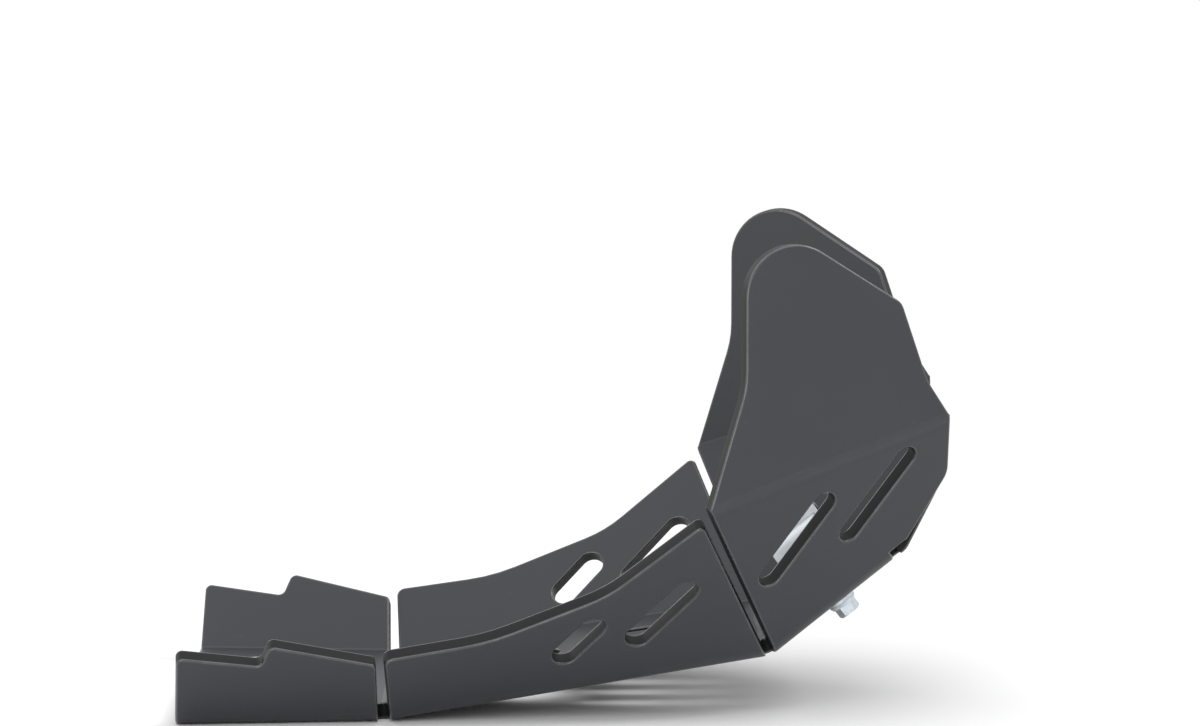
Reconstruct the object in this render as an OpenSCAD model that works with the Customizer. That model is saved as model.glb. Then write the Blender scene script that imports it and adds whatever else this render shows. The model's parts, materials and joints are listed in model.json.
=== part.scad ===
// Motorcycle skid plate: one thick plastic sheet, cut flat and folded hot into a
// trough, held to the frame by two clamps at the front and two bolts at the rear.

/* [Sheet] */
// Thickness of the plastic sheet
sheet_t = 8; // [6:0.5:9]
// Inside radius left by every hot fold
bend_r = 2; // [1:0.5:2]
// Inside radius of the two gentle bends across the floor
floor_bend_r = 12; // [8:1:14]
// Width of the slots that part neighbouring side walls at a bend
relief_w = 5.4; // [5.2:0.1:7]

/* [Floor] */
// Width across the fold lines at the rear edge
rear_w = 212; // [206:1:222]
// Angle by which each fold line closes in towards the front
taper = 6; // [4:0.5:7]
// Length of the level rear section
rear_len = 99; // [90:1:110]
// Length of the middle section
mid_len = 187; // [175:1:200]
// Length of the front section
front_len = 82; // [81:0.5:86]
// Length of the free nose
nose_len = 41; // [38:1:46]
// Slope of the middle section
mid_slope = 8.8; // [7:0.1:11]
// Slope of the front section
front_slope = 37.9; // [35:0.1:40]
// Slope of the nose
nose_slope = 62.5; // [58:0.5:66]

/* [Side walls] */
// Fold angle of the rear wall
rear_fold = 59; // [50:1:65]
// Fold angle of the middle wall
mid_fold = 54; // [50:1:60]
// Fold angle of the wing
wing_fold = 51; // [48:1:54]
// Length of the wing's foot along its fold line
wing_base = 75.2; // [72:0.1:76]
// Width of the slot between the wing and the nose
nose_slot_w = 4; // [3:0.1:4.5]
// Angle of the second fold, which stands the wing upright
crease_fold = 30; // [25:1:35]
// Angle of that crease against the floor's fold line
crease_angle = 22.5; // [20:0.5:24]
// Height of the crease's rear end up the wing
crease_rise = 102.1; // [98:0.1:104]
// Length of the crease
crease_len = 128.9; // [126:0.1:131]

/* [Slots and holes] */
// Width of the drain slots, one cutter wide
slot_w = 12; // [8:1:14]
// Diameter of the hole under the oil drain plug
drain_d = 46; // [36:1:52]
// Diameter of the front bolt holes
bolt_hole_d = 7; // [6.5:0.1:8]

/* [Front fixing] */
// Diameter of the frame rail that each clamp holds
rail_d = 25; // [24:0.1:26]
// Distance from the centre line to each rail
rail_y = 31; // [28:0.5:31]
// Distance from the centre line to each front bolt
bolt_y = 57; // [56.8:0.1:57.5]
// Distance of the front bolts past the start of the front section
bolt_x = 42; // [36:1:50]
// Width of the clamp strap
clamp_w = 28; // [22:1:36]
// Thickness of the clamp strap
clamp_t = 4; // [3:0.5:4]

/* [Rear fixing] */
// Distance between the two rear bolts
rear_bolt_pitch = 130; // [110:1:150]
// Distance of the rear bolts from the rear edge
rear_bolt_x = 30; // [22:1:45]
// Bore of the rear bushes, for a 6 mm bolt
bush_bore_d = 6.6; // [6.2:0.1:7]
// Diameter of a bush's head, let into the sheet
bush_head_d = 20; // [16:1:24]

/* [Hidden] */
$fn = 64;

outer_r = bend_r + sheet_t;
half_slot = relief_w / 2;
arc_step = 6;
// Reach of the floor past the start of each side fold, and the length cut off its ends
seam = 3;
spare = 10;
// Depth of the faint line that a fold leaves along the sheet
skin_t = 0.03;

// Distance from a fold's outer corner to where the flat sheet starts
function setback(fold) = outer_r * tan(fold / 2);

lengths = [rear_len, mid_len, front_len, nose_len];
slopes = [0, mid_slope, front_slope, nose_slope];
folds = [rear_fold, mid_fold, wing_fold];

// Where the outer faces of the floor sections meet, and half the width there
function corner_x(k) = k == 0 ? 0 : corner_x(k - 1) + lengths[k - 1] * cos(slopes[k - 1]);
function corner_z(k) = k == 0 ? 0 : corner_z(k - 1) + lengths[k - 1] * sin(slopes[k - 1]);
function half_w(k) = k == 0 ? rear_w / 2 : half_w(k - 1) - lengths[k - 1] * tan(taper);
function fold_len(k) = lengths[k] / cos(taper);

// Rounding of an outline given as [x, y, radius] points
function unit(v) = v / norm(v);
function flat(p) = [p[0], p[1]];
function arc(centre, r, from, sweep) =
    let (n = max(1, ceil(abs(sweep) / arc_step)))
    [for (i = [0:n]) centre + r * [cos(from + sweep * i / n), sin(from + sweep * i / n)]];
function corner(a, b, c) =
    let (
        to_a = unit(flat(a) - flat(b)),
        to_c = unit(flat(c) - flat(b)),
        half = acos(to_a * to_c) / 2,
        centre = flat(b) + unit(to_a + to_c) * b[2] / sin(half),
        start = flat(b) + to_a * b[2] / tan(half) - centre,
        turn = sign(to_a.y * to_c.x - to_a.x * to_c.y) * (180 - 2 * half)
    )
    b[2] == 0 ? [flat(b)] : arc(centre, b[2], atan2(start.y, start.x), turn);
function rounded(pts) =
    let (n = len(pts))
    [for (i = [0:n - 1]) each corner(pts[(i + n - 1) % n], pts[i], pts[(i + 1) % n])];

// Frames: a floor section, and a side wall on its right-hand fold line
module on_section(k) {
    translate([corner_x(k), 0, corner_z(k)])
        rotate([0, -slopes[k], 0])
            children();
}

module on_fold(k) {
    on_section(k)
        translate([0, -half_w(k), 0])
            rotate([0, 0, taper])
                children();
}

module on_wall(k) {
    on_fold(k)
        rotate([180 - folds[k], 0, 0])
            children();
}

module on_crease() {
    on_wall(2)
        translate([crease_u, crease_rise, 0])
            rotate([0, 0, -crease_angle])
                children();
}

module both_sides() {
    for (side = [0, 1])
        mirror([0, side, 0])
            children();
}

// Section through a side fold: a tail inside the floor, the bend, and the wall up to rise
function fold_profile(angle, rise, skin) =
    let (inner = sheet_t - skin, tail = setback(angle) + seam + 5)
    rounded([
        [tail, skin, 0],
        [skin * tan(angle / 2), skin, outer_r - skin],
        [skin * sin(angle) - rise * cos(angle), skin * cos(angle) + rise * sin(angle), 0],
        [inner * sin(angle) - rise * cos(angle), inner * cos(angle) + rise * sin(angle), 0],
        [inner * tan(angle / 2), inner, bend_r + skin],
        [tail, inner, 0]]);

module folded_strip(angle, from, to, rise, skin) {
    translate([from, 0, 0])
        rotate([90, 0, 90])
            linear_extrude(to - from)
                polygon(fold_profile(angle, rise, skin));
}

// Everything in front of and behind an outline drawn on a wall's outer face
module cut_to(outline) {
    translate([0, 0, -50])
        linear_extrude(65)
            polygon(rounded(outline));
}

module slot(x, y, angle, length, width = slot_w) {
    translate([x, y, -2 * sheet_t])
        rotate([0, 0, angle])
            linear_extrude(4 * sheet_t) {
                translate([-length / 2, -width / 2])
                    square([length, width]);
                for (end = [-1, 1])
                    translate([end * length / 2, 0])
                        circle(d = width);
            }
}

// The floor is one strip bent three times, then narrowed section by section
function slope_mean(k) = (slopes[max(0, k - 1)] + slopes[min(3, k)]) / 2;
function slope_half(k) = (slopes[min(3, k)] - slopes[max(0, k - 1)]) / 2;
function floor_corner(k, depth, r) = [
    corner_x(k) - depth * sin(slope_mean(k)) / cos(slope_half(k)),
    corner_z(k) + depth * cos(slope_mean(k)) / cos(slope_half(k)),
    r];
floor_radii = [0, floor_bend_r, floor_bend_r, bend_r];
function floor_profile() = rounded(concat(
    [[-spare, 0, 0]],
    [for (k = [1:3]) floor_corner(k, 0, floor_radii[k] + sheet_t)],
    [floor_end(0), floor_end(sheet_t)],
    [for (k = [3:-1:1]) floor_corner(k, sheet_t, floor_radii[k])],
    [[-spare, sheet_t, 0]]));
function floor_end(depth) =
    floor_corner(4, depth, 0) + spare * [cos(nose_slope), sin(nose_slope), 0];

// Nose outline: its sides start below the bend, where the slots beside the wings end
nose_corner_r = 16;
nose_back = 12;
function nose_edge(x) = half_w(3) - 1 - x * tan(taper);
module nose_trim() {
    on_section(3)
        translate([0, 0, -50])
            linear_extrude(100)
                difference() {
                    translate([-nose_back, -half_w(0) - spare])
                        square([nose_back + nose_len + 3 * spare, 2 * half_w(0) + 2 * spare]);
                    polygon(rounded([
                        [-2 * nose_back, -nose_edge(-2 * nose_back), 0],
                        [nose_len, -nose_edge(nose_len), nose_corner_r],
                        [nose_len, nose_edge(nose_len), nose_corner_r],
                        [-2 * nose_back, nose_edge(-2 * nose_back), 0]]));
                }
}

// Reach of the waste beside the floor, a little past each bend so that nothing thin is left
function waste_start(k) = k == 0 ? -2 * spare : -1;
function waste_end(k) = k == 2 ? wing_base + nose_slot_w : fold_len(k) + 1;

module floor_sheet() {
    difference() {
        rotate([90, 0, 0])
            translate([0, 0, -half_w(0)])
                linear_extrude(2 * half_w(0))
                    polygon(floor_profile());
        both_sides()
            for (k = [0:2])
                on_fold(k)
                    translate([waste_start(k), -100, -50])
                        cube([waste_end(k) - waste_start(k), 100 + setback(folds[k]) + seam, 100]);
        nose_trim();
    }
}

// Side walls, drawn flat: x runs forward along the fold line and y up the wall
rear_start = (setback(rear_fold) + seam - 1) * tan(taper);
module rear_wall() {
    end = fold_len(0) - half_slot;
    intersection() {
        on_fold(0)
            folded_strip(rear_fold, -spare, rear_len + spare, 60, skin_t);
        on_wall(0)
            cut_to([
                [rear_start, -25, 0],
                [end, -25, 0],
                [end, 0, 0],
                [94.5, 34.2, 2.5],
                [44, 46.2, 3.5],
                [40, 34.4, 3.5],
                [rear_start - 0.6, 40, 3]]);
    }
}

module mid_wall() {
    end = fold_len(1) - half_slot;
    difference() {
        intersection() {
            on_fold(1)
                folded_strip(mid_fold, -spare, mid_len + spare, 110, skin_t);
            on_wall(1)
                cut_to([
                    [half_slot, -25, 0],
                    [end, -25, 0],
                    [end, 0, 0],
                    [159.7, 91.4, 3],
                    [111.9, 56.2, 60],
                    [52.9, 39.3, 90],
                    [3.6, 39.1, 4]]);
        }
        on_wall(1) {
            slot(96.4, 30.8, 44, 20);
            slot(136.9, 39.3, 44, 34);
        }
    }
}

// The crease's rear end along the wing, and the tilt of the plane through the crease in
// which the cut edges of the lower and the upper wing meet
crease_u = 16.7;
crease_part = 0.727 * crease_fold;

// A point p along the crease and q up from it, on the flat lower wing
function at_crease(p, q) = [
    crease_u + p * cos(crease_angle) + q * sin(crease_angle),
    crease_rise - p * sin(crease_angle) + q * cos(crease_angle),
    0];

// One side of the parting plane: up is 1 for the side above the crease and -1 for the other
module past_crease(up) {
    on_crease()
        rotate([-crease_part, 0, 0])
            translate([-60, up > 0 ? -skin_t : skin_t - 200, -60])
                cube([260, 200, 120]);
}

module wing() {
    difference() {
        intersection() {
            union() {
                difference() {
                    on_fold(2)
                        folded_strip(wing_fold, -spare, 150, 130, skin_t);
                    on_crease()
                        translate([-60, -setback(crease_fold) - seam, -60])
                            cube([260, 200, 120]);
                }
                on_crease()
                    rotate([180, 0, 0])
                        folded_strip(crease_fold, -spare, crease_len + spare, 140, 2 * skin_t);
            }
            union() {
                intersection() {
                    past_crease(-1);
                    on_wall(2)
                        cut_to([
                            [half_slot, -25, 0],
                            [wing_base, -25, 0],
                            [wing_base, 5.4, 0],
                            [86.1, 5.4, 0],
                            [119.7, 23.7, 14],
                            at_crease(crease_len, 0),
                            at_crease(0, 0),
                            [half_slot, 0, 0]]);
                }
                intersection() {
                    past_crease(1);
                    on_crease()
                        rotate([-crease_fold, 0, 0])
                            cut_to([
                                [0, 0, 0],
                                [crease_len, 0, 0],
                                [123.4, 20, 30],
                                [123, 59.5, 8],
                                [64, 130, 25],
                                [36, 49, 50]]);
                }
            }
        }
        on_wall(2) {
            slot(42.4, 51.5, 21, 43);
            slot(86.1, 41.8, 21, 45, 10.5);
        }
    }
}

// Stop holes at the inner ends of the slots between walls, drilled square to the sheet
module relief_ends() {
    for (k = [1:2])
        translate([corner_x(k), setback(folds[k - 1]) + 1.6 - half_w(k), corner_z(k)])
            rotate([0, -slope_mean(k), 0])
                cylinder(d = relief_w + 1, h = 4 * sheet_t, center = true);
    on_fold(2)
        translate([wing_base + nose_slot_w / 2, setback(wing_fold) + seam - 1, 0])
            cylinder(d = nose_slot_w + 1, h = 4 * sheet_t, center = true);
}

// Openings through the floor
module floor_cuts() {
    on_section(0)
        for (side = [-1, 1])
            translate([rear_bolt_x, side * rear_bolt_pitch / 2, 0]) {
                cylinder(d = bush_body_d, h = sheet_t + 1);
                translate([0, 0, -1])
                    cylinder(d = bush_head_d, h = bush_head_t + 1);
            }
    on_section(1) {
        translate([62, 0, -1])
            cylinder(d = drain_d, h = sheet_t + 2);
        for (side = [-1, 0, 1])
            slot(136, side * 34, 0, 44);
    }
    on_section(2)
        for (side = [-1, 1])
            translate([bolt_x, side * bolt_y, -1])
                cylinder(d = bolt_hole_d, h = sheet_t + 2);
    on_section(3)
        for (side = [-1, 1])
            slot(20, side * 26, 0, 12);
}

module skid_plate() color("#4b4c50") at_origin()
    difference() {
        union() {
            floor_sheet();
            both_sides() {
                rear_wall();
                mid_wall();
                wing();
            }
        }
        translate([-3 * spare, -half_w(0), -1])
            cube([3 * spare, 2 * half_w(0), sheet_t + 2]);
        both_sides()
            relief_ends();
        floor_cuts();
    }

// The whole part sits with the rear bolts' seats on the frame at the origin
module at_origin() {
    translate([-rear_bolt_x, 0, -sheet_t])
        children();
}

// Front fixings, drawn on the right: hex flange bolt, washer, clamp strap and flange nut
bolt_r = 3;
flange_r = 7.1;
flange_t = 1.6;
hex_af = 10;
bolt_head_h = 6.6;
bolt_len = 22;
washer_t = 2;
strap_gap = 0.2;
saddle_r = rail_d / 2 + strap_gap;
strap_bend_r = 2;
saddle_wrap = 150;

module hexagon(across_flats, height) {
    cylinder(d = across_flats / cos(30), h = height, $fn = 6);
}

module on_front(side) {
    on_section(2)
        mirror([0, side == "left" ? 1 : 0, 0])
            translate([bolt_x, 0, 0])
                children();
}

module front_bolt(side) color("#b9c0c3") at_origin() on_front(side)
    translate([0, -bolt_y, -washer_t]) {
        cylinder(r = bolt_r, h = bolt_len);
        translate([0, 0, -flange_t])
            cylinder(r1 = flange_r - 0.8, r2 = flange_r, h = flange_t);
        translate([0, 0, -bolt_head_h])
            intersection() {
                hexagon(hex_af, bolt_head_h);
                cylinder(r1 = hex_af / 2, r2 = hex_af / 2 + 6, h = bolt_head_h);
            }
    }

module front_washer(side) color("#b9c0c3") at_origin() on_front(side)
    translate([0, -bolt_y, -washer_t])
        difference() {
            cylinder(r = flange_r, h = washer_t);
            translate([0, 0, -1])
                cylinder(r = bolt_r + 0.2, h = washer_t + 2);
        }

foot_y = bolt_y + 7.5;
strap_side = rail_y + saddle_r + clamp_t;

module front_clamp(side) color("#a9afb2") at_origin() on_front(side)
    translate([-clamp_w / 2, 0, sheet_t])
        difference() {
            union() {
                translate([0, -rail_y, saddle_r])
                    mirror([0, 1, 0])
                        rotate([90, 0, 90])
                            rotate_extrude(angle = saddle_wrap)
                                translate([saddle_r, 0])
                                    square([clamp_t, clamp_w]);
                translate([0, -strap_side, strap_bend_r + clamp_t])
                    cube([clamp_w, clamp_t, saddle_r - strap_bend_r - clamp_t]);
                translate([0, -strap_side - strap_bend_r, strap_bend_r + clamp_t])
                    rotate([90, 0, 90])
                        rotate([0, 0, -90])
                            rotate_extrude(angle = 90)
                                translate([strap_bend_r, 0])
                                    square([clamp_t, clamp_w]);
                translate([0, -foot_y, 0])
                    cube([clamp_w, foot_y - strap_side - strap_bend_r, clamp_t]);
            }
            translate([clamp_w / 2, -bolt_y, -1])
                cylinder(r = bolt_r + 0.3, h = clamp_t + 2);
        }

module front_nut(side) color("#b9c0c3") at_origin() on_front(side)
    translate([0, -bolt_y, sheet_t + clamp_t])
        difference() {
            union() {
                cylinder(r1 = flange_r, r2 = flange_r - 0.8, h = flange_t);
                intersection() {
                    hexagon(hex_af, 6);
                    cylinder(r1 = hex_af / 2 + 6, r2 = hex_af / 2, h = 6);
                }
            }
            translate([0, 0, -1])
                cylinder(r = bolt_r, h = 8);
        }

// Stepped steel bush that keeps a rear bolt from crushing the sheet
bush_body_d = 11;
bush_head_t = 3;

module rear_bush(side) color("#a9afb2") at_origin()
    translate([rear_bolt_x, (side == "left" ? 1 : -1) * rear_bolt_pitch / 2, 0])
        difference() {
            union() {
                cylinder(d = bush_head_d, h = bush_head_t);
                cylinder(d = bush_body_d, h = sheet_t);
            }
            translate([0, 0, -1])
                cylinder(d = bush_bore_d, h = sheet_t + 2);
        }

skid_plate();
front_bolt("right");  // front_bolt_right
front_bolt("left");  // front_bolt_left
front_washer("right");  // front_washer_right
front_washer("left");  // front_washer_left
front_clamp("right");  // front_clamp_right
front_clamp("left");  // front_clamp_left
front_nut("right");  // front_nut_right
front_nut("left");  // front_nut_left
rear_bush("right");  // rear_bush_right
rear_bush("left");  // rear_bush_left
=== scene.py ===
import json
import math

import bmesh
import bpy
from mathutils import Matrix, Vector
from mathutils.geometry import delaunay_2d_cdt


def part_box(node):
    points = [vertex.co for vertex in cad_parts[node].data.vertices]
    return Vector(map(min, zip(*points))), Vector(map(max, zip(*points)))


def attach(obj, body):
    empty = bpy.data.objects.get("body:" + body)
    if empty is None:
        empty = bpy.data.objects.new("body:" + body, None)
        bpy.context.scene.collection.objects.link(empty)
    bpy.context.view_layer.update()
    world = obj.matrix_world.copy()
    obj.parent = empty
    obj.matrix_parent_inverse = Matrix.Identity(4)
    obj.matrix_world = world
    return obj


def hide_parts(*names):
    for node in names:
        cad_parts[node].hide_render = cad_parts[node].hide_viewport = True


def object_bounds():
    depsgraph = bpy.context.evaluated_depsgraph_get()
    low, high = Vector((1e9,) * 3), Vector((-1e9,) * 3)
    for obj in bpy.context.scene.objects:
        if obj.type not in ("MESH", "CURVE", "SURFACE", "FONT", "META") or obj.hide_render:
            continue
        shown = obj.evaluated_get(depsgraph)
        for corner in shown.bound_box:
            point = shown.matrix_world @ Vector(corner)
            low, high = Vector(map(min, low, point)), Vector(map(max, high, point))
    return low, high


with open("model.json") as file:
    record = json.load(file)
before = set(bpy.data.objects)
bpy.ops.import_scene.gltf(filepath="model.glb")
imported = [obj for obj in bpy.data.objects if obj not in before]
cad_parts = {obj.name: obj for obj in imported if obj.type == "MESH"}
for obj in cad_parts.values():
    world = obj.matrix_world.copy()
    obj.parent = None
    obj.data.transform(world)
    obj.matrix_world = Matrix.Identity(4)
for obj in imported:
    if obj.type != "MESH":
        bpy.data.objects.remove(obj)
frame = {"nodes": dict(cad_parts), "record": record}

size_before = [list(corner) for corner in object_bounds()]
scene = bpy.context.scene


# Camera: about three metres to the right of the part and a little above it, with a long
# lens, as the photograph was taken, so the near wing is seen almost square on.
TARGET = Vector((0.1717, 0.0, 0.1543))
EYE = Vector((0.1717, -3.1902, 0.4615))
LENS_PX = 6572
PHOTO_W = 1200

camera_data = bpy.data.cameras.new("camera")
camera = bpy.data.objects.new("camera", camera_data)
scene.collection.objects.link(camera)
camera_data.sensor_width = 36.0
camera_data.lens = LENS_PX / PHOTO_W * camera_data.sensor_width
camera_data.clip_end = 50.0
camera.location = EYE
camera.rotation_euler = (TARGET - EYE).to_track_quat("-Z", "Y").to_euler()
scene.camera = camera


# Studio: a pale matt floor 0.2 mm under the part, soft lamps above it, beside the camera
# and behind, and a small one high in front that picks out the scraped rims. The pale room
# shows white to the camera.
FLOOR_GAP = 0.0002
FLOOR_REACH = 30.0


def linear(hex_code):
    """An sRGB hex colour as the linear RGBA that the shader sockets take."""
    parts = [int(hex_code[i:i + 2], 16) / 255 for i in (1, 3, 5)]
    return [c / 12.92 if c <= 0.04045 else ((c + 0.055) / 1.055) ** 2.4 for c in parts] + [1.0]


def add_node(tree, kind, settings=None, inputs=None):
    """Adds a node with its properties, and with values or sockets for its inputs."""
    node = tree.nodes.new(kind)
    for name, value in (settings or {}).items():
        setattr(node, name, value)
    for name, value in (inputs or {}).items():
        if isinstance(value, bpy.types.NodeSocket):
            tree.links.new(value, node.inputs[name])
        else:
            node.inputs[name].default_value = value
    return node


def new_material(name):
    """An empty node material and its tree."""
    material = bpy.data.materials.new(name)
    material.use_nodes = True
    material.node_tree.nodes.clear()
    return material, material.node_tree


def seen_straight(tree):
    """1 where a surface is looked at, also in a mirror or through glass, and 0 where it only lights."""
    path = add_node(tree, "ShaderNodeLightPath")
    glossy = add_node(tree, "ShaderNodeMath", {"operation": "MAXIMUM"},
                      {0: path.outputs["Is Camera Ray"], 1: path.outputs["Is Glossy Ray"]})
    return add_node(tree, "ShaderNodeMath", {"operation": "MAXIMUM"},
                    {0: glossy.outputs[0], 1: path.outputs["Is Transmission Ray"]})


floor_mesh = bpy.data.meshes.new("floor")
floor_z = size_before[0][2] - FLOOR_GAP
floor_mesh.from_pydata(
    [(x * FLOOR_REACH, y * FLOOR_REACH, floor_z) for x, y in ((-1, -1), (1, -1), (1, 1), (-1, 1))],
    [], [(0, 1, 2, 3)])
floor = bpy.data.objects.new("floor", floor_mesh)
scene.collection.objects.link(floor)
floor_paint, tree = new_material("matt white studio floor")
paint = add_node(tree, "ShaderNodeBsdfDiffuse", inputs={"Color": linear("#f6f6f6")})
glow = add_node(tree, "ShaderNodeEmission", inputs={"Color": linear("#ffffff"), "Strength": 1.0})
away = add_node(tree, "ShaderNodeVectorMath", {"operation": "LENGTH"}, {
    0: add_node(tree, "ShaderNodeTexCoord").outputs["Object"]})
fade = add_node(tree, "ShaderNodeMapRange", {"interpolation_type": "SMOOTHERSTEP"}, {
    "Value": away.outputs["Value"], "From Min": 0.35, "From Max": 1.3})
white = add_node(tree, "ShaderNodeMath", {"operation": "MULTIPLY"}, {
    0: fade.outputs[0], 1: seen_straight(tree).outputs[0]})
mixed = add_node(tree, "ShaderNodeMixShader", inputs={
    0: white.outputs[0], 1: paint.outputs[0], 2: glow.outputs[0]})
add_node(tree, "ShaderNodeOutputMaterial", inputs={"Surface": mixed.outputs[0]})
floor_mesh.materials.append(floor_paint)

world = bpy.data.worlds.new("studio")
scene.world = world
world.use_nodes = True
tree = world.node_tree
tree.nodes.clear()
room = add_node(tree, "ShaderNodeBackground", inputs={"Color": linear("#ffffff"), "Strength": 0.75})
backdrop = add_node(tree, "ShaderNodeBackground", inputs={"Color": linear("#ffffff"), "Strength": 1.0})
mixed = add_node(tree, "ShaderNodeMixShader", inputs={
    0: seen_straight(tree).outputs[0], 1: room.outputs[0], 2: backdrop.outputs[0]})
add_node(tree, "ShaderNodeOutputWorld", inputs={"Surface": mixed.outputs[0]})

for name, place, aim, size, watts in (
        ("overhead softbox", (0.3, -0.6, 2.2), (0.17, 0.0, 0.1), 2.4, 17.0),
        ("camera side softbox", (-0.8, -2.2, 0.3), (0.1, 0.0, 0.05), 1.8, 24.0),
        ("high front softbox", (1.75, -0.2, 1.7), (0.25, 0.0, 0.1), 0.8, 13.0),
        ("rear softbox", (-1.6, 1.8, 1.5), (0.17, 0.0, 0.1), 1.6, 12.0)):
    lamp = bpy.data.lights.new(name, "AREA")
    lamp.size = size
    lamp.energy = watts
    holder = bpy.data.objects.new(name, lamp)
    scene.collection.objects.link(holder)
    holder.location = place
    holder.rotation_euler = (Vector(aim) - Vector(place)).to_track_quat("-Z", "Y").to_euler()

scene.view_settings.view_transform = "Standard"


# Plate: one sheet of dark grey polyethylene, sawn to its outline, slotted, and folded hot
# over a bar. Its faces keep a satin skin from the press, with faint clouds and handling
# scuffs. The cut edges are painted darker than the skin, as painted shade, and their corners are
# scraped by hand.
EDGE_BREAK = 0.001
SKIN, FOLD, CUT, CORNER = range(4)

# Satin skin: the press cloth leaves a grain of about 0.4 mm, drawn at 0.7 mm to show. The
# clouds are where the sheet cooled unevenly, and the scuffs are fine, long and slanting.
GRAIN = 0.000714
CLOUD = 0.0625
SCUFF_LENGTH = 0.0714
SCUFF_BREADTH = 0.002
SCUFF_SLANT = -0.35

hdpe_skin, tree = new_material("polyethylene sheet, satin pressed skin")
place = add_node(tree, "ShaderNodeTexCoord").outputs["Object"]
grain = add_node(tree, "ShaderNodeTexNoise", inputs={
    "Vector": place, "Scale": 1 / GRAIN, "Detail": 3.0, "Roughness": 0.6})
cloud = add_node(tree, "ShaderNodeTexNoise", inputs={
    "Vector": place, "Scale": 1 / CLOUD, "Detail": 4.0, "Roughness": 0.55})
tint = add_node(tree, "ShaderNodeMix", {"data_type": "RGBA"}, {
    0: cloud.outputs["Fac"], 6: linear("#313235"), 7: linear("#38393e")})
stretched = add_node(tree, "ShaderNodeMapping", inputs={
    "Vector": place, "Rotation": (0.0, SCUFF_SLANT, 0.0),
    "Scale": (1 / SCUFF_LENGTH, 1 / SCUFF_BREADTH, 1 / SCUFF_BREADTH)})
hairs = add_node(tree, "ShaderNodeTexNoise", inputs={
    "Vector": stretched.outputs[0], "Scale": 1.0, "Detail": 2.0, "Roughness": 0.7})
scuff = add_node(tree, "ShaderNodeMapRange", inputs={
    "Value": hairs.outputs["Fac"], "From Min": 0.66, "From Max": 0.78})
patch = add_node(tree, "ShaderNodeMapRange", inputs={
    "Value": cloud.outputs["Fac"], "From Min": 0.5, "From Max": 0.68})
scuffed = add_node(tree, "ShaderNodeMath", {"operation": "MULTIPLY"}, {
    0: scuff.outputs[0], 1: patch.outputs[0]})
colour = add_node(tree, "ShaderNodeMix", {"data_type": "RGBA"}, {
    0: scuffed.outputs[0], 6: tint.outputs[2], 7: linear("#4e5054")})
shine = add_node(tree, "ShaderNodeMapRange", inputs={
    "Value": cloud.outputs["Fac"], "To Min": 0.40, "To Max": 0.54})
bump = add_node(tree, "ShaderNodeBump", inputs={
    "Height": grain.outputs["Fac"], "Strength": 0.3, "Distance": 0.00008})
skin = add_node(tree, "ShaderNodeBsdfPrincipled", inputs={
    "Base Color": colour.outputs[2], "Roughness": shine.outputs[0], "Normal": bump.outputs[0],
    "IOR": 1.54, "Specular IOR Level": 0.35})
add_node(tree, "ShaderNodeOutputMaterial", inputs={"Surface": skin.outputs[0]})

# Fold: heated and stretched over the bar, which irons the grain flat, in streaks about 11 mm across.
# Its paler tint is partly the whitening of the stretched plastic and partly a painted highlight along
# the round of the bend.
STREAK = 0.0111

hdpe_fold_paled_with_painted_highlight, tree = new_material("polyethylene sheet, ironed at the hot fold")
place = add_node(tree, "ShaderNodeTexCoord").outputs["Object"]
streak = add_node(tree, "ShaderNodeTexNoise", inputs={
    "Vector": place, "Scale": 1 / STREAK, "Detail": 3.0, "Roughness": 0.6})
# Paler than the skin: partly whitening of the stretched plastic, partly painted highlight.
tint = add_node(tree, "ShaderNodeMix", {"data_type": "RGBA"}, {
    0: streak.outputs["Fac"], 6: linear("#323336"), 7: linear("#3d3e42")})
shine = add_node(tree, "ShaderNodeMapRange", inputs={
    "Value": streak.outputs["Fac"], "To Min": 0.30, "To Max": 0.42})
fold = add_node(tree, "ShaderNodeBsdfPrincipled", inputs={
    "Base Color": tint.outputs[2], "Roughness": shine.outputs[0], "IOR": 1.54,
    "Specular IOR Level": 0.35})
add_node(tree, "ShaderNodeOutputMaterial", inputs={"Surface": fold.outputs[0]})

# Cut edge: the cutter's marks are about 0.9 mm apart, on a duller surface that varies a little every 17
# mm.
# The edge is the same plastic as the skin; its near-black colour is painted shade.
CUTTER_MARK = 0.000909
DULL_PATCH = 0.0167

hdpe_cut_with_painted_shade, tree = new_material("polyethylene, routed edge, darkened as painted shade")
place = add_node(tree, "ShaderNodeTexCoord").outputs["Object"]
marks = add_node(tree, "ShaderNodeTexNoise", inputs={
    "Vector": place, "Scale": 1 / CUTTER_MARK, "Detail": 2.0, "Roughness": 0.5})
tone = add_node(tree, "ShaderNodeTexNoise", inputs={
    "Vector": place, "Scale": 1 / DULL_PATCH, "Detail": 3.0, "Roughness": 0.5})
# Both blacks are painted shade, far darker than the same plastic's skin.
tint = add_node(tree, "ShaderNodeMix", {"data_type": "RGBA"}, {
    0: tone.outputs["Fac"], 6: linear("#0b0b0d"), 7: linear("#17181b")})
shine = add_node(tree, "ShaderNodeMapRange", inputs={
    "Value": tone.outputs["Fac"], "To Min": 0.45, "To Max": 0.6})
bump = add_node(tree, "ShaderNodeBump", inputs={
    "Height": marks.outputs["Fac"], "Strength": 0.4, "Distance": 0.0001})
cut = add_node(tree, "ShaderNodeBsdfPrincipled", inputs={
    "Base Color": tint.outputs[2], "Roughness": shine.outputs[0], "Normal": bump.outputs[0],
    "IOR": 1.54, "Specular IOR Level": 0.2})
add_node(tree, "ShaderNodeOutputMaterial", inputs={"Surface": cut.outputs[0]})

# Scraped corner: a hand scraper burnishes it, and handling rubs it paler in places about
# 8 mm long.
RUBBED = 0.00833

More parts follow.
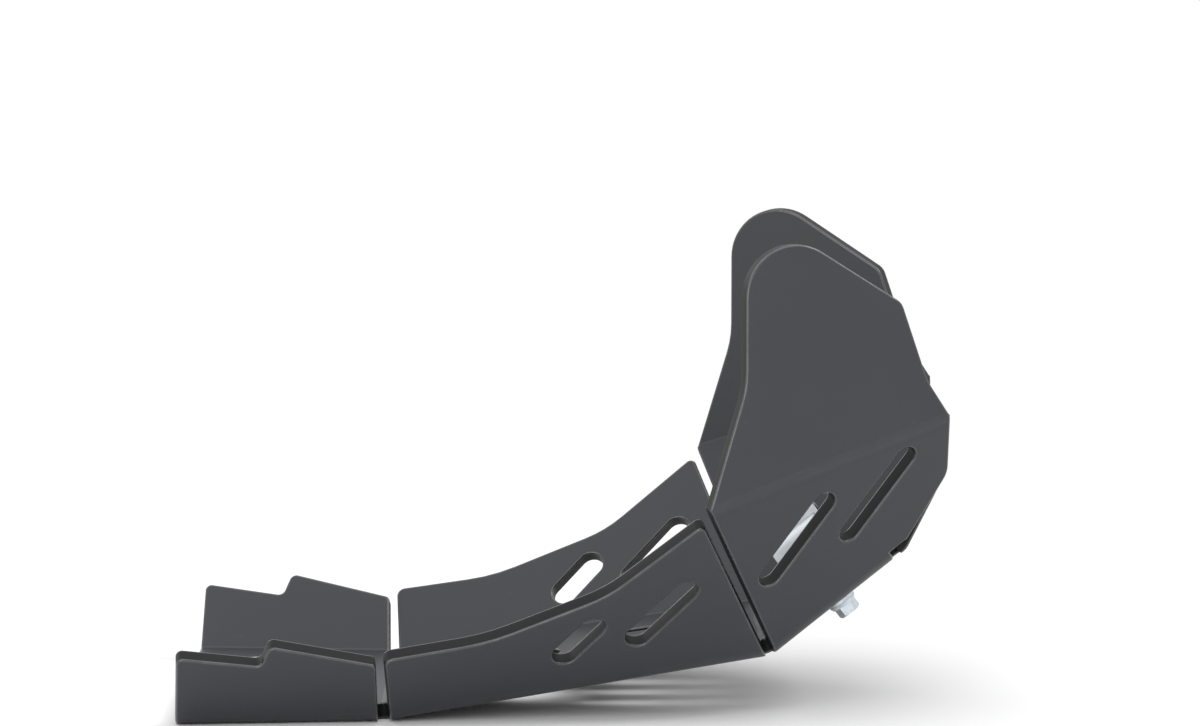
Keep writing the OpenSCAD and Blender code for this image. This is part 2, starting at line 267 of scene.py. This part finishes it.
hdpe_corner, tree = new_material("polyethylene, hand scraped corner")
place = add_node(tree, "ShaderNodeTexCoord").outputs["Object"]
rub = add_node(tree, "ShaderNodeTexNoise", inputs={
    "Vector": place, "Scale": 1 / RUBBED, "Detail": 4.0, "Roughness": 0.65})
worn = add_node(tree, "ShaderNodeMapRange", inputs={
    "Value": rub.outputs["Fac"], "From Min": 0.4, "From Max": 0.7})
tint = add_node(tree, "ShaderNodeMix", {"data_type": "RGBA"}, {
    0: worn.outputs[0], 6: linear("#26272a"), 7: linear("#3c3d41")})
corner = add_node(tree, "ShaderNodeBsdfPrincipled", inputs={
    "Base Color": tint.outputs[2], "Roughness": 0.26, "IOR": 1.54, "Specular IOR Level": 0.8})
add_node(tree, "ShaderNodeOutputMaterial", inputs={"Surface": corner.outputs[0]})


# How far apart the points are that merge to one, the least edge that is kept, and the turns
# under which two faces are one, an edge shades smooth and an edge stays unbroken.
PLATE_MERGE = 1e-6
LEAST_EDGE = 1e-5
SAME_FACE = math.radians(1.0)
SHADED_SMOOTH = math.radians(50)
LEFT_UNBROKEN = math.radians(35)


def merged_copy(node, merge):
    """A CAD node's mesh in a bmesh, with its loose triangles joined into whole faces."""
    bm = bmesh.new()
    bm.from_mesh(frame["nodes"][node].data)
    bmesh.ops.remove_doubles(bm, verts=bm.verts, dist=merge)
    bmesh.ops.dissolve_degenerate(bm, edges=bm.edges, dist=LEAST_EDGE)
    bmesh.ops.dissolve_limit(bm, angle_limit=SAME_FACE, verts=bm.verts, edges=bm.edges)
    return bm


def finished(bm, name, materials, edge_break=0.0):
    """A piece from a bmesh, smooth over its bends, with its sharp edges broken to a small round when an
    edge break is given.
    """
    marked = bm.edges.layers.float.new("bevel_weight_edge")
    for face in bm.faces:
        face.smooth = True
    for edge in bm.edges:
        edge[marked] = float(edge.calc_face_angle(0.0) > LEFT_UNBROKEN)
        edge.smooth = edge.calc_face_angle(0.0) < SHADED_SMOOTH
    mesh = bpy.data.meshes.new(name)
    bm.to_mesh(mesh)
    bm.free()
    for material in materials:
        mesh.materials.append(material)
    piece = bpy.data.objects.new(name, mesh)
    scene.collection.objects.link(piece)
    if edge_break:
        round_off = piece.modifiers.new("edge break", "BEVEL")
        round_off.limit_method = "WEIGHT"
        round_off.width = edge_break
        round_off.segments = 2
    flat = piece.modifiers.new("flat faces", "WEIGHTED_NORMAL")
    flat.keep_sharp = True
    flat.weight = 100
    return piece


def breadth(face):
    """How wide a long narrow face is."""
    return 2 * face.calc_area() / face.calc_perimeter()


def ends_in_turn(edge, face):
    """The two ends of an edge, in the order in which a face runs round them."""
    start = next(loop for loop in face.loops if loop.edge == edge)
    return start.vert, start.link_loop_next.vert


def inward(edge, face):
    """The direction square to an edge, into the face beside it."""
    start, end = ends_in_turn(edge, face)
    return face.normal.cross((end.co - start.co).normalized())


# The facets of a fold turn by more than FOLD_TURN. Edges shorter than SHORT_RIM or
# SHORT_FOLD give no direction. MITRE_LIMIT and SLANT_LIMIT keep a pull from growing long in
# a tight corner, and no pull goes further than KEPT_CLEAR of the way to the next fold line.
FOLD_TURN = math.radians(1.5)
SHORT_RIM = 0.0003
SHORT_FOLD = 0.0005
MITRE_LIMIT = 0.6
SLANT_LIMIT = 0.5
KEPT_CLEAR = 0.8


def drawn_back(vert, rim, side):
    """How far a rim's vertex moves into the faces of one side, and the fold line it keeps to."""
    ways = []
    for edge in vert.link_edges:
        if edge in rim:
            here = vert
            while edge.calc_length() < SHORT_RIM:
                here = edge.other_vert(here)
                edge = next(other for other in here.link_edges if other in rim and other != edge)
            ways.append(inward(edge, next(face for face in edge.link_faces if face in side)))
    mitre = EDGE_BREAK * (ways[0] + ways[1]) / max(MITRE_LIMIT, 1 + ways[0].dot(ways[1]))
    folds = [edge for edge in vert.link_edges if edge not in rim and edge.link_faces[0] in side
             and edge.calc_face_angle(0.0) > FOLD_TURN and edge.calc_length() > SHORT_FOLD]
    if folds:
        fold = max(folds, key=lambda edge: edge.calc_length())
        along = (fold.other_vert(vert).co - vert.co).normalized()
        return along * mitre.length / max(SLANT_LIMIT, along.dot(mitre.normalized())), along
    room = 1.0
    for face in (face for face in vert.link_faces if face in side):
        for edge in face.edges:
            if edge in rim or vert in edge.verts or edge.calc_face_angle(0.0) <= FOLD_TURN:
                continue
            towards = -mitre.dot(inward(edge, face))
            if towards > 0:
                gap = (vert.co - edge.verts[0].co).dot(inward(edge, face))
                room = min(room, KEPT_CLEAR * max(gap, 0.0) / towards)
    return mitre * room, None


def lay_flat(bm, edges, normal, slot):
    """Fills a flat outline, which may have holes, with triangles."""
    turn = normal.rotation_difference(Vector((0, 0, 1)))
    verts = list(dict.fromkeys(vert for edge in edges for vert in edge.verts))
    row = {vert: count for count, vert in enumerate(verts)}
    spots = [(turn @ vert.co).to_2d() for vert in verts]
    pairs = [(row[edge.verts[0]], row[edge.verts[1]]) for edge in edges]
    triangles, sources = delaunay_2d_cdt(spots, pairs, [], 1, 1e-8)[2:4]
    for triangle in triangles:
        if not all(sources[corner] for corner in triangle):
            continue
        corners = [sources[corner][0] for corner in triangle]
        x, y = sum((spots[corner] for corner in corners), Vector((0, 0))) / 3
        crossed = 0
        for one, two in pairs:
            a, b = spots[one], spots[two]
            if (a.y > y) != (b.y > y):
                crossed += x < a.x + (y - a.y) / (b.y - a.y) * (b.x - a.x)
        if crossed % 2:
            face = bm.faces.new([verts[corner] for corner in corners])
            face.material_index = slot
            face.normal_update()
            if face.normal.dot(normal) < 0:
                face.normal_flip()


bm = merged_copy("skid_plate", PLATE_MERGE)
number = bm.verts.layers.int.new("rim number")
seam = bm.edges.layers.int.new("seam in a flat face")

# The faces of the sheet run on round every fold, and only the cut edges turn off sharply.
# The facets of a fold are faces of the sheet that are about a millimetre wide. A face far
# narrower than that, with the sheet on both sides, is the faint line beside a fold.
FLAT_AREA = 0.002
CUT_TURN = math.radians(20)
FACET_BREADTH = 0.0013
LINE_BREADTH = 0.00006
LINE_BORDER = 0.7
LINE_PASSES = 3
sheet_faces = {face for face in bm.faces if face.calc_area() > FLAT_AREA}
reached = list(sheet_faces)
while reached:
    for edge in reached.pop().edges:
        for face in edge.link_faces:
            if face not in sheet_faces and edge.calc_face_angle(0.0) < CUT_TURN:
                sheet_faces.add(face)
                reached.append(face)
for repeat in range(LINE_PASSES):
    for face in bm.faces:
        if face not in sheet_faces and breadth(face) < LINE_BREADTH:
            beside = sum(edge.calc_length() for edge in face.edges
                         if any(other in sheet_faces for other in edge.link_faces))
            if beside > LINE_BORDER * face.calc_perimeter():
                sheet_faces.add(face)
for face in bm.faces:
    if face in sheet_faces:
        face.material_index = FOLD if breadth(face) < FACET_BREADTH else SKIN
    else:
        face.material_index = CUT

# The scraped rims: each vertex between the sheet's face and a cut edge is drawn back into
# both of them, along the fold where it ends one, and a strip of two facets is laid between.
# Where two neighbours would leave a rim edge under LEAST_SPAN of its length they move alike.
SEAM_TURN = math.radians(0.3)
LEAST_SPAN = 0.1
SPAN_PASSES = 4
cut_faces = set(bm.faces) - sheet_faces
rim_edges = [edge for edge in bm.edges if sum(face in sheet_faces for face in edge.link_faces) == 1]
rim = set(rim_edges)
rim_verts = list(dict.fromkeys(vert for edge in rim_edges for vert in edge.verts))
for edge in bm.edges:
    edge[seam] = edge not in rim and edge.calc_face_angle(0.0) < SEAM_TURN
for count, vert in enumerate(rim_verts):
    vert[number] = count + 1
corner_at = {vert[number]: vert.co.copy() for vert in rim_verts}
pulls = [{}, {}]
fold_lines = [{}, {}]
for pull, fold_line, side in zip(pulls, fold_lines, (sheet_faces, cut_faces)):
    for vert in rim_verts:
        pull[vert[number]], fold_line[vert[number]] = drawn_back(vert, rim, side)
spans = []
for edge in rim_edges:
    start, end = ends_in_turn(edge, next(face for face in edge.link_faces if face in sheet_faces))
    spans.append((start[number], end[number]))
for repeat in range(SPAN_PASSES):
    for pull in pulls:
        for one, two in spans:
            span = corner_at[two] - corner_at[one]
            if (span + pull[two] - pull[one]).dot(span) < LEAST_SPAN * span.length_squared:
                pull[one] = pull[two] = (pull[one] + pull[two]) / 2
for pull, fold_line in zip(pulls, fold_lines):
    for key, along in fold_line.items():
        if along is not None:
            pull[key] = along * pull[key].dot(along)
bmesh.ops.split_edges(bm, edges=rim_edges)
rows = [{}, {}, {}]
for vert in bm.verts:
    key = vert[number]
    if key:
        part = int(vert.link_faces[0].material_index == CUT)
        vert.co = corner_at[key] + pulls[part][key]
        rows[2 * part][key] = vert

# A flat face that was in pieces round its slots is laid again, as one, from its new outline.
# Each patch grows by the pieces across its seams while it is walked through.
patches = []
taken = set()
for face in bm.faces:
    if face in taken or not any(edge[seam] for edge in face.edges):
        continue
    patch = [face]
    taken.add(face)
    for known in patch:
        for edge in known.edges:
            for other in edge.link_faces:
                if edge[seam] and other not in taken:
                    patch.append(other)
                    taken.add(other)
    patches.append(patch)
outlines = []
for patch in patches:
    largest = max(patch, key=lambda face: face.calc_area())
    outlines.append((
        [edge for face in patch for edge in face.edges if not edge[seam]],
        largest.normal.copy(), largest.material_index))
bmesh.ops.delete(bm, geom=[edge for edge in bm.edges if edge[seam]], context="EDGES_FACES")
for edges, normal, slot in outlines:
    lay_flat(bm, edges, normal, slot)

# The strip's middle row lies where a round corner would bulge to.
ROUND_SHARE = 1 - math.sqrt(0.5)
for key, point in corner_at.items():
    rows[1][key] = bm.verts.new(point + (pulls[0][key] + pulls[1][key]) * ROUND_SHARE)
for one, two in spans:
    for upper, lower in ((rows[0], rows[1]), (rows[1], rows[2])):
        strip = bm.faces.new((upper[two], upper[one], lower[one], lower[two]))
        strip.material_index = CORNER
bm.normal_update()

plate = finished(bm, "plate", [hdpe_skin, hdpe_fold_paled_with_painted_highlight, hdpe_cut_with_painted_shade, hdpe_corner])
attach(plate, "root")
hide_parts("skid_plate")


# Rear bushes: steel, turned to a step and let into the floor from below, so that the rear
# bolts pull on metal and not on the soft plastic. Turning leaves fine rings on the head.
RING_PITCH = 0.0006
ZINC_GRAIN = 0.00286
TURNED_BREAK = 0.0003
METAL_MERGE = 5e-5


def middle(node):
    """The middle of a CAD node's box."""
    low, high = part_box(node)
    return (Vector(low) + Vector(high)) / 2


turned, tree = new_material("mild steel, turned and zinc plated")
xyz = add_node(tree, "ShaderNodeSeparateXYZ", inputs={
    0: add_node(tree, "ShaderNodeTexCoord").outputs["Object"]})
across = add_node(tree, "ShaderNodeMath", {"operation": "ABSOLUTE"}, {0: xyz.outputs["Y"]})
off_axis = add_node(tree, "ShaderNodeMath", {"operation": "SUBTRACT"}, {
    0: across.outputs[0], 1: middle("rear_bush_left").y})
spoke = add_node(tree, "ShaderNodeCombineXYZ", inputs={"X": xyz.outputs["X"], "Y": off_axis.outputs[0]})
radius = add_node(tree, "ShaderNodeVectorMath", {"operation": "LENGTH"}, {0: spoke.outputs[0]})
turns = add_node(tree, "ShaderNodeMath", {"operation": "MULTIPLY"}, {
    0: radius.outputs["Value"], 1: 2 * math.pi / RING_PITCH})
rings = add_node(tree, "ShaderNodeMath", {"operation": "SINE"}, {0: turns.outputs[0]})
spots = add_node(tree, "ShaderNodeTexNoise", inputs={
    "Vector": add_node(tree, "ShaderNodeTexCoord").outputs["Object"],
    "Scale": 1 / ZINC_GRAIN, "Detail": 3.0})
tint = add_node(tree, "ShaderNodeMix", {"data_type": "RGBA"}, {
    0: spots.outputs["Fac"], 6: linear("#a3a9ad"), 7: linear("#c4c9cc")})
bump = add_node(tree, "ShaderNodeBump", inputs={
    "Height": rings.outputs[0], "Strength": 0.3, "Distance": 0.00003})
steel = add_node(tree, "ShaderNodeBsdfPrincipled", inputs={
    "Base Color": tint.outputs[2], "Metallic": 1.0, "Roughness": 0.32, "Normal": bump.outputs[0]})
add_node(tree, "ShaderNodeOutputMaterial", inputs={"Surface": steel.outputs[0]})

for side in ("right", "left"):
    bm = merged_copy("rear_bush_" + side, METAL_MERGE)
    bush = finished(bm, "bush_" + side, [turned], TURNED_BREAK)
    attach(bush, "root")
    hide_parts("rear_bush_" + side)


# Front clamps: 4 mm mild steel strap, bent over a former to a saddle and a foot, then zinc
# plated. The rolled faces keep faint lines along the strap, and the sheared edges are round.
ROLLED_LINE_LENGTH = 0.025
ROLLED_LINE_BREADTH = 0.00111
ZINC_CLOUD = 0.00455
SHEARED_BREAK = 0.0005

rolled, tree = new_material("mild steel strap, bent and zinc plated")
place = add_node(tree, "ShaderNodeTexCoord").outputs["Object"]
along = add_node(tree, "ShaderNodeMapping", inputs={"Vector": place, "Scale": (
    1 / ROLLED_LINE_BREADTH, 1 / ROLLED_LINE_LENGTH, 1 / ROLLED_LINE_BREADTH)})
lines = add_node(tree, "ShaderNodeTexNoise", inputs={
    "Vector": along.outputs[0], "Scale": 1.0, "Detail": 2.0, "Roughness": 0.6})
spots = add_node(tree, "ShaderNodeTexNoise", inputs={
    "Vector": place, "Scale": 1 / ZINC_CLOUD, "Detail": 4.0, "Roughness": 0.6})
tint = add_node(tree, "ShaderNodeMix", {"data_type": "RGBA"}, {
    0: spots.outputs["Fac"], 6: linear("#9ba1a6"), 7: linear("#bfc4c8")})
shine = add_node(tree, "ShaderNodeMapRange", inputs={
    "Value": spots.outputs["Fac"], "To Min": 0.30, "To Max": 0.50})
bump = add_node(tree, "ShaderNodeBump", inputs={
    "Height": lines.outputs["Fac"], "Strength": 0.35, "Distance": 0.00004})
strap = add_node(tree, "ShaderNodeBsdfPrincipled", inputs={
    "Base Color": tint.outputs[2], "Metallic": 1.0, "Roughness": shine.outputs[0],
    "Normal": bump.outputs[0]})
add_node(tree, "ShaderNodeOutputMaterial", inputs={"Surface": strap.outputs[0]})

for side in ("right", "left"):
    bm = merged_copy("front_clamp_" + side, METAL_MERGE)
    clamp = finished(bm, "clamp_" + side, [rolled], SHEARED_BREAK)
    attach(clamp, "root")
    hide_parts("front_clamp_" + side)


# Front bolts: 6 mm hex flange bolts, forged cold and thread rolled, with a bright bluish
# zinc plate. Each passes up through a washer, the floor and a clamp's foot into its nut.
THREAD_D = 0.006
THREAD_PITCH = 0.001
THREAD_LENGTH = 0.022
WASHER_T = 0.002
SHANK_LEFT = 5e-5
FORGED_BREAK = 0.0003
SPANGLE = 0.00238

bright, tree = new_material("carbon steel, cold forged and bright zinc plated")
place = add_node(tree, "ShaderNodeTexCoord").outputs["Object"]
spangle = add_node(tree, "ShaderNodeTexNoise", inputs={
    "Vector": place, "Scale": 1 / SPANGLE, "Detail": 3.0, "Roughness": 0.6})
tint = add_node(tree, "ShaderNodeMix", {"data_type": "RGBA"}, {
    0: spangle.outputs["Fac"], 6: linear("#b3bdc6"), 7: linear("#d6dde2")})
shine = add_node(tree, "ShaderNodeMapRange", inputs={
    "Value": spangle.outputs["Fac"], "To Min": 0.22, "To Max": 0.36})
bump = add_node(tree, "ShaderNodeBump", inputs={
    "Height": spangle.outputs["Fac"], "Strength": 0.25, "Distance": 0.00004})
zinc = add_node(tree, "ShaderNodeBsdfPrincipled", inputs={
    "Base Color": tint.outputs[2], "Metallic": 1.0, "Roughness": shine.outputs[0],
    "Normal": bump.outputs[0]})
add_node(tree, "ShaderNodeOutputMaterial", inputs={"Surface": zinc.outputs[0]})

# The tree takes one bolt head with its seat at the origin, adds a rolled thread above it,
# and sets the whole bolt on both sides of the centre line.
bolts_tree = bpy.data.node_groups.new("threaded bolts in a row", "GeometryNodeTree")
bolts_tree.interface.new_socket("Geometry", in_out="OUTPUT", socket_type="NodeSocketGeometry")
bolts_tree.interface.new_socket("Head", in_out="INPUT", socket_type="NodeSocketGeometry")
sizes = {
    name: bolts_tree.interface.new_socket(
        name, in_out="INPUT", socket_type="NodeSocketFloat").identifier
    for name in ("Thread Diameter", "Pitch", "Length", "Spacing")}
sizes["Finish"] = bolts_tree.interface.new_socket(
    "Finish", in_out="INPUT", socket_type="NodeSocketMaterial").identifier
given = add_node(bolts_tree, "NodeGroupInput").outputs
ridge_depth = add_node(bolts_tree, "ShaderNodeMath", {"operation": "MULTIPLY"}, {
    0: given["Pitch"], 1: 0.5})
outer = add_node(bolts_tree, "ShaderNodeMath", {"operation": "MULTIPLY"}, {
    0: given["Thread Diameter"], 1: 0.5})
ridge_r = add_node(bolts_tree, "ShaderNodeMath", {"operation": "SUBTRACT"}, {
    0: outer.outputs[0], 1: ridge_depth.outputs[0]})
rise = add_node(bolts_tree, "ShaderNodeMath", {"operation": "SUBTRACT"}, {
    0: given["Length"], 1: given["Pitch"]})
turn_count = add_node(bolts_tree, "ShaderNodeMath", {"operation": "DIVIDE"}, {
    0: rise.outputs[0], 1: given["Pitch"]})
helix = add_node(bolts_tree, "GeometryNodeCurveSpiral", inputs={
    "Resolution": 24, "Rotations": turn_count.outputs[0], "Start Radius": ridge_r.outputs[0],
    "End Radius": ridge_r.outputs[0], "Height": rise.outputs[0]})
upright = add_node(bolts_tree, "GeometryNodeSetCurveNormal", {"mode": "Z_UP"}, {
    "Curve": helix.outputs[0]})
ridge = add_node(bolts_tree, "GeometryNodeCurvePrimitiveCircle", inputs={
    "Resolution": 4, "Radius": ridge_depth.outputs[0]})
thread = add_node(bolts_tree, "GeometryNodeCurveToMesh", inputs={
    "Curve": upright.outputs[0], "Profile Curve": ridge.outputs["Curve"], "Fill Caps": True})
half_pitch = add_node(bolts_tree, "ShaderNodeCombineXYZ", inputs={"Z": ridge_depth.outputs[0]})
raised = add_node(bolts_tree, "GeometryNodeTransform", inputs={
    "Geometry": thread.outputs[0], "Translation": half_pitch.outputs[0]})
core = add_node(bolts_tree, "GeometryNodeMeshCylinder", inputs={
    "Vertices": 32, "Radius": ridge_r.outputs[0], "Depth": given["Length"]})
half_length = add_node(bolts_tree, "ShaderNodeMath", {"operation": "MULTIPLY"}, {
    0: given["Length"], 1: 0.5})
lift = add_node(bolts_tree, "ShaderNodeCombineXYZ", inputs={"Z": half_length.outputs[0]})
stood = add_node(bolts_tree, "GeometryNodeTransform", inputs={
    "Geometry": core.outputs["Mesh"], "Translation": lift.outputs[0]})
bolt = add_node(bolts_tree, "GeometryNodeJoinGeometry")
for part in (given["Head"], raised.outputs[0], stood.outputs[0]):
    bolts_tree.links.new(part, bolt.inputs[0])
half_span = add_node(bolts_tree, "ShaderNodeMath", {"operation": "MULTIPLY"}, {
    0: given["Spacing"], 1: -0.5})
first = add_node(bolts_tree, "ShaderNodeCombineXYZ", inputs={"Y": half_span.outputs[0]})
step = add_node(bolts_tree, "ShaderNodeCombineXYZ", inputs={"Y": given["Spacing"]})
places = add_node(bolts_tree, "GeometryNodeMeshLine", inputs={
    "Count": 2, "Start Location": first.outputs[0], "Offset": step.outputs[0]})
both = add_node(bolts_tree, "GeometryNodeInstanceOnPoints", inputs={
    "Points": places.outputs[0], "Instance": bolt.outputs[0]})
real = add_node(bolts_tree, "GeometryNodeRealizeInstances", inputs={0: both.outputs[0]})
plated = add_node(bolts_tree, "GeometryNodeSetMaterial", inputs={
    "Geometry": real.outputs[0], "Material": given["Finish"]})
add_node(bolts_tree, "NodeGroupOutput", inputs={0: plated.outputs[0]})

# The front floor has the slope of the frame rails, and the bolts seat under the washers. The
# head's own shape comes from the CAD bolt, laid upright, with its shank cut away.
mounts = {mount["name"]: mount for mount in frame["record"]["mounts"]}
rail = mounts["front_rail_right"]["axis"]
tilt = Matrix.Rotation(-math.atan2(rail[2], rail[0]), 4, "Y")
washers = [middle("front_washer_right"), middle("front_washer_left")]
to_seat = tilt @ Vector((0, 0, -WASHER_T / 2))
right_seat = Matrix.Translation(washers[0] + to_seat) @ tilt
seat = Matrix.Translation((washers[0] + washers[1]) / 2 + to_seat) @ tilt
bm = merged_copy("front_bolt_right", METAL_MERGE)
bm.transform(right_seat.inverted())
bmesh.ops.bisect_plane(
    bm, geom=bm.verts[:] + bm.edges[:] + bm.faces[:],
    plane_co=(0, 0, SHANK_LEFT), plane_no=(0, 0, 1), clear_outer=True)
bmesh.ops.holes_fill(bm, edges=[edge for edge in bm.edges if edge.is_boundary])
source = finished(bm, "bolt_source", [bright], FORGED_BREAK)
maker = source.modifiers.new("bolts", "NODES")
maker.node_group = bolts_tree
for name, value in (("Thread Diameter", THREAD_D), ("Pitch", THREAD_PITCH), ("Length", THREAD_LENGTH),
                    ("Spacing", (washers[1] - washers[0]).length), ("Finish", bright)):
    maker[sizes[name]] = value
depsgraph = bpy.context.evaluated_depsgraph_get()
bolts_mesh = bpy.data.meshes.new_from_object(source.evaluated_get(depsgraph))
bolts_mesh.transform(seat)
bolts = bpy.data.objects.new("front_bolts", bolts_mesh)
scene.collection.objects.link(bolts)
source.modifiers.clear()
bpy.data.objects.remove(source)
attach(bolts, "root")
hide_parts("front_bolt_right", "front_bolt_left")


# Washers and flange nuts: the same plated steel. The washer is punched, so one of its
# edges is round, and the nut clamps the strap's foot down on the floor.
PUNCHED_BREAK = 0.00025

for cad, name in (("front_washer_", "washer_"), ("front_nut_", "nut_")):
    for side in ("right", "left"):
        bm = merged_copy(cad + side, METAL_MERGE)
        piece = finished(bm, name + side, [bright], PUNCHED_BREAK)
        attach(piece, "root")
        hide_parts(cad + side)
